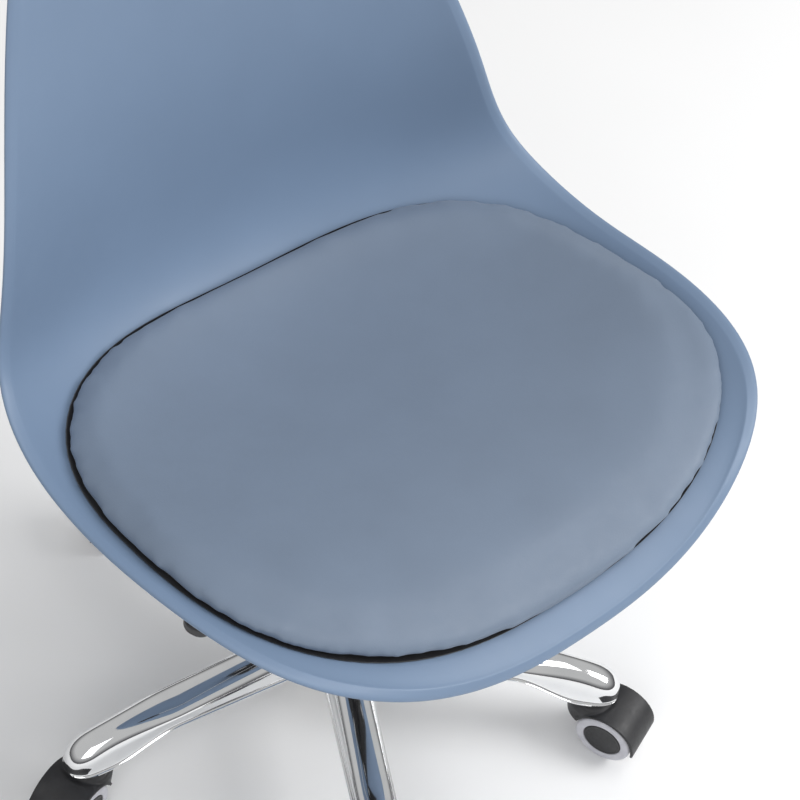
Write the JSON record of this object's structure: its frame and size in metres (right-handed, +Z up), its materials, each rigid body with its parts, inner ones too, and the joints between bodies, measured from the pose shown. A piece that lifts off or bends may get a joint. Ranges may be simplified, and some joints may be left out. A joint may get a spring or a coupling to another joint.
{
  "type": "swivel office chair",
  "caption": "Swivel office chair: moulded bucket shell with padded cushion on a gas lift and a chromed caster base; seat turns and rises, casters swivel and roll.",
  "frame": {"origin": "on the floor under the column axis", "axes": "+Z up, the sitter faces -Y, +X to the sitter's left"},
  "size_m": [0.5133, 0.5031, 0.8079],
  "materials": {
    "chrome": "polished chrome plate",
    "zinc_steel": "bright zinc-plated steel",
    "black_steel": "black powder coat",
    "black_plastic": "fine-grained black nylon",
    "nylon": "natural acetal",
    "grey_tread": "soft light grey polyurethane",
    "shell_plastic": "satin blue-grey moulded polypropylene",
    "cushion_leather": "smooth blue-grey coated leather",
    "foam": "cut polyurethane foam",
    "plywood": "unfinished birch plywood"
  },
  "bodies": {
    "base": {"base_hub": "chrome", "leg_1": "chrome", "leg_2": "chrome", "leg_3": "chrome", "leg_4": "chrome", "leg_5": "chrome", "caster_sockets": "zinc_steel", "caster_stems": "zinc_steel", "grip_rings": "zinc_steel", "column_tube": "black_steel", "guide_bush": "nylon", "bearing_washers": "zinc_steel", "bearing_balls": "zinc_steel", "cover_lower": "black_plastic"},
    "piston": {"piston_rod": "zinc_steel", "rod_clip": "zinc_steel"},
    "cover_sleeve": {"cover_middle": "black_plastic"},
    "seat": {"gas_cylinder": "black_steel", "cover_upper": "black_plastic", "seat_plate": "black_steel", "seat_shell": "shell_plastic", "cushion_cover": "cushion_leather", "cushion_foam": "foam", "cushion_board": "plywood", "t_nuts": "zinc_steel", "seat_bolts": "zinc_steel", "spring_washers": "zinc_steel"},
    "lever": {"lever_rod": "zinc_steel", "lever_grip": "black_plastic"},
    "button": {"release_button": "zinc_steel"},
    "caster_1": {"caster_1_hood": "black_plastic", "caster_1_axle": "zinc_steel"},
    "caster_1_left": {"caster_1_wheel_left": "black_plastic", "caster_1_tread_left": "grey_tread"},
    "caster_1_right": {"caster_1_wheel_right": "black_plastic", "caster_1_tread_right": "grey_tread"},
    "caster_2": {"caster_2_hood": "black_plastic", "caster_2_axle": "zinc_steel"},
    "caster_2_left": {"caster_2_wheel_left": "black_plastic", "caster_2_tread_left": "grey_tread"},
    "caster_2_right": {"caster_2_wheel_right": "black_plastic", "caster_2_tread_right": "grey_tread"},
    "caster_3": {"caster_3_hood": "black_plastic", "caster_3_axle": "zinc_steel"},
    "caster_3_left": {"caster_3_wheel_left": "black_plastic", "caster_3_tread_left": "grey_tread"},
    "caster_3_right": {"caster_3_wheel_right": "black_plastic", "caster_3_tread_right": "grey_tread"},
    "caster_4": {"caster_4_hood": "black_plastic", "caster_4_axle": "zinc_steel"},
    "caster_4_left": {"caster_4_wheel_left": "black_plastic", "caster_4_tread_left": "grey_tread"},
    "caster_4_right": {"caster_4_wheel_right": "black_plastic", "caster_4_tread_right": "grey_tread"},
    "caster_5": {"caster_5_hood": "black_plastic", "caster_5_axle": "zinc_steel"},
    "caster_5_left": {"caster_5_wheel_left": "black_plastic", "caster_5_tread_left": "grey_tread"},
    "caster_5_right": {"caster_5_wheel_right": "black_plastic", "caster_5_tread_right": "grey_tread"}
  },
  "joints": [
    {"name": "seat_swivel", "type": "hinge", "parent": "base", "child": "piston", "pos_m": [0, 0, 0.05], "axis": [0, 0, 1], "continuous": true},
    {"name": "height", "type": "slide", "parent": "piston", "child": "seat", "axis": [0, 0, 1], "range_m": [0, 0.1]},
    {"name": "cover_slide", "type": "slide", "parent": "piston", "child": "cover_sleeve", "axis": [0, 0, 1], "range_m": [0, 0.051]},
    {"name": "lever_lift", "type": "hinge", "parent": "seat", "child": "lever", "pos_m": [-0.048, 0, 0.3191], "axis": [0, 1, 0], "range_deg": [0, 4.15], "stiffness_Nm_per_rad": 4, "springref_deg": -5.73},
    {"name": "button_press", "type": "slide", "parent": "seat", "child": "button", "axis": [0, 0, -1], "range_m": [0, 0.0038], "stiffness_N_per_m": 300, "springref_m": -0.002},
    {"name": "caster_1_swivel", "type": "hinge", "parent": "base", "child": "caster_1", "pos_m": [-0.0977, -0.19768, 0.05], "axis": [0, 0, 1], "continuous": true},
    {"name": "caster_1_roll_left", "type": "hinge", "parent": "caster_1", "child": "caster_1_left", "pos_m": [-0.07757, -0.18697, 0.025], "axis": [-0.4695, 0.8829, 0], "continuous": true},
    {"name": "caster_1_roll_right", "type": "hinge", "parent": "caster_1", "child": "caster_1_right", "pos_m": [-0.07757, -0.18697, 0.025], "axis": [-0.4695, 0.8829, 0], "continuous": true},
    {"name": "caster_2_swivel", "type": "hinge", "parent": "base", "child": "caster_2", "pos_m": [0.15781, -0.154, 0.05], "axis": [0, 0, 1], "continuous": true},
    {"name": "caster_2_roll_left", "type": "hinge", "parent": "caster_2", "child": "caster_2_left", "pos_m": [0.16561, -0.17543, 0.025], "axis": [0.9397, 0.342, 0], "continuous": true},
    {"name": "caster_2_roll_right", "type": "hinge", "parent": "caster_2", "child": "caster_2_right", "pos_m": [0.16561, -0.17543, 0.025], "axis": [0.9397, 0.342, 0], "continuous": true},
    {"name": "caster_3_swivel", "type": "hinge", "parent": "base", "child": "caster_3", "pos_m": [0.19523, 0.1025, 0.05], "axis": [0, 0, 1], "continuous": true},
    {"name": "caster_3_roll_left", "type": "hinge", "parent": "caster_3", "child": "caster_3_left", "pos_m": [0.1738, 0.0947, 0.025], "axis": [0.342, -0.9397, 0], "continuous": true},
    {"name": "caster_3_roll_right", "type": "hinge", "parent": "caster_3", "child": "caster_3_right", "pos_m": [0.1738, 0.0947, 0.025], "axis": [0.342, -0.9397, 0], "continuous": true},
    {"name": "caster_4_swivel", "type": "hinge", "parent": "base", "child": "caster_4", "pos_m": [-0.03715, 0.21735, 0.05], "axis": [0, 0, 1], "continuous": true},
    {"name": "caster_4_roll_left", "type": "hinge", "parent": "caster_4", "child": "caster_4_left", "pos_m": [-0.05782, 0.22698, 0.025], "axis": [-0.4226, -0.9063, 0], "continuous": true},
    {"name": "caster_4_roll_right", "type": "hinge", "parent": "caster_4", "child": "caster_4_right", "pos_m": [-0.05782, 0.22698, 0.025], "axis": [-0.4226, -0.9063, 0], "continuous": true},
    {"name": "caster_5_swivel", "type": "hinge", "parent": "base", "child": "caster_5", "pos_m": [-0.21819, 0.03183, 0.05], "axis": [0, 0, 1], "continuous": true},
    {"name": "caster_5_roll_left", "type": "hinge", "parent": "caster_5", "child": "caster_5_left", "pos_m": [-0.23962, 0.02403, 0.025], "axis": [0.342, -0.9397, 0], "continuous": true},
    {"name": "caster_5_roll_right", "type": "hinge", "parent": "caster_5", "child": "caster_5_right", "pos_m": [-0.23962, 0.02403, 0.025], "axis": [0.342, -0.9397, 0], "continuous": true}
  ],
  "couplings": [
    {"joint": "cover_slide", "follows": "height", "ratio": 0.5},
    {"joint": "button_press", "follows": "lever_lift", "m_per_rad": 0.0515}
  ]
}
